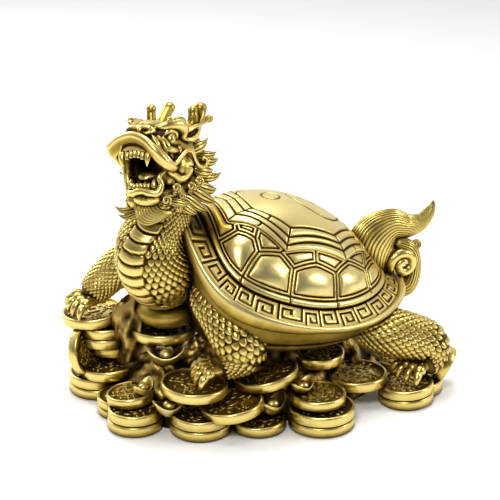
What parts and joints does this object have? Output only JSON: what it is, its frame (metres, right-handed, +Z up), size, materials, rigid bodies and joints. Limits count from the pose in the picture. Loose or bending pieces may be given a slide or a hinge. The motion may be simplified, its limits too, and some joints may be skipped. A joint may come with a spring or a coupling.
{
  "type": "dragon turtle figure",
  "caption": "Cast brass dragon turtle: a tortoise with a dragon's head, mane and plumed tail and a board of trigrams on its shell, standing on a heap of coins and ingots.",
  "frame": {"origin": "middle of the outline box of the whole casting, on the underside that it stands on", "axes": "+Z up, +X from the head towards the tail, so the beast faces -X, -Y the flank with its head turned towards it"},
  "size_m": [0.2497, 0.1752, 0.2009],
  "materials": {
    "casting": "antique brass: raised parts rubbed bright gold, brown-black patina in the hollows"
  },
  "bodies": {
    "root": {"dragon_turtle": "casting"}
  },
  "joints": []
}
